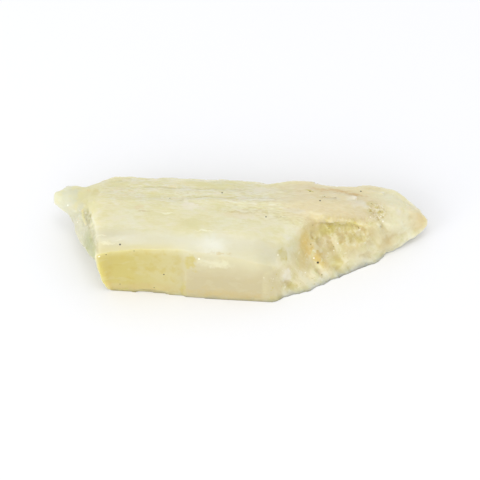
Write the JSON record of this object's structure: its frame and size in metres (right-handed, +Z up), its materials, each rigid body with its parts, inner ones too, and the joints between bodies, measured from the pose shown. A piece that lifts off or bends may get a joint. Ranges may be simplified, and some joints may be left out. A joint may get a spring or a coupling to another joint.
{
  "type": "oligoclase cleavage fragment",
  "caption": "Long pale cleavage fragment of feldspar, level above and below, with a steep flat front face, a splintery sloping right end and a small nub on the left, lying on its flat base.",
  "frame": {"origin": "middle of the footprint of the fragment's box, on its flat underside", "axes": "+X along the long cleavage edge, from the small nub towards the broken far tip; -Y towards the steep front face; +Z up, square to the two level cleavages"},
  "size_m": [0.056, 0.0186, 0.01],
  "materials": {
    "feldspar": "pale cream translucent feldspar, pearly on the cleavages, ochre stained on the front and in the broken end"
  },
  "bodies": {
    "root": {"cleavage_fragment": "feldspar"}
  },
  "joints": []
}
